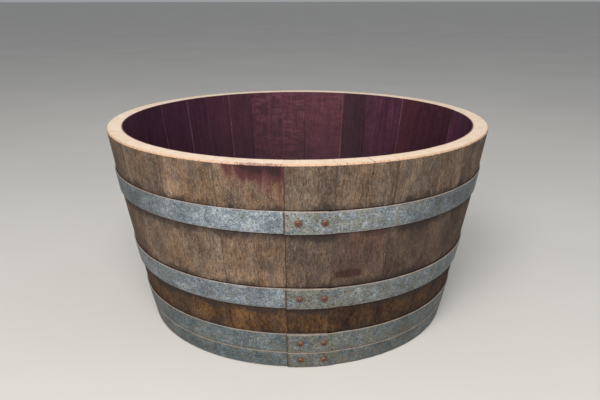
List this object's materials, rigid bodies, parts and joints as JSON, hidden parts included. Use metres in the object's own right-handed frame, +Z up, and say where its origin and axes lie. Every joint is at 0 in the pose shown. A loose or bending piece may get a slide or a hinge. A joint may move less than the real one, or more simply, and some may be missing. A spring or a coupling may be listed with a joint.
{
  "type": "half wine barrel tub",
  "caption": "Open oak tub: the lower half of a wine barrel sawn across at its widest point, tapering to a recessed head and bound by riveted galvanised steel hoops.",
  "frame": {"origin": "middle of the foot, on the surface that the staves stand on", "axes": "+Z up along the cask's axis, -Y towards the front, where the hoops' laps and rivets are"},
  "size_m": [0.7, 0.7, 0.363],
  "materials": {
    "stave_oak": "weathered grey-brown oak outside, wine-stained inside, pale fresh-sawn rim",
    "head_oak": "wine-stained oak boards, bare weathered oak underneath",
    "hoop_steel": "weathered galvanised strap, mottled, with rust along its edges",
    "rivet_steel": "rusted plain steel rivets"
  },
  "bodies": {
    "root": {"stave_01": "stave_oak", "stave_02": "stave_oak", "stave_03": "stave_oak", "stave_04": "stave_oak", "stave_05": "stave_oak", "stave_06": "stave_oak", "stave_07": "stave_oak", "stave_08": "stave_oak", "stave_09": "stave_oak", "stave_10": "stave_oak", "stave_11": "stave_oak", "stave_12": "stave_oak", "stave_13": "stave_oak", "stave_14": "stave_oak", "stave_15": "stave_oak", "stave_16": "stave_oak", "stave_17": "stave_oak", "stave_18": "stave_oak", "stave_19": "stave_oak", "stave_20": "stave_oak", "stave_21": "stave_oak", "stave_22": "stave_oak", "stave_23": "stave_oak", "stave_24": "stave_oak", "stave_25": "stave_oak", "stave_26": "stave_oak", "stave_27": "stave_oak", "stave_28": "stave_oak", "head_board_1": "head_oak", "head_board_2": "head_oak", "head_board_3": "head_oak", "head_board_4": "head_oak", "head_board_5": "head_oak", "head_board_6": "head_oak", "head_board_7": "head_oak", "head_dowels": "head_oak", "bilge_hoop": "hoop_steel", "quarter_hoop": "hoop_steel", "head_hoop": "hoop_steel", "chime_hoop": "hoop_steel", "bilge_rivets": "rivet_steel", "quarter_rivets": "rivet_steel", "head_rivets": "rivet_steel", "chime_rivets": "rivet_steel"}
  },
  "joints": []
}
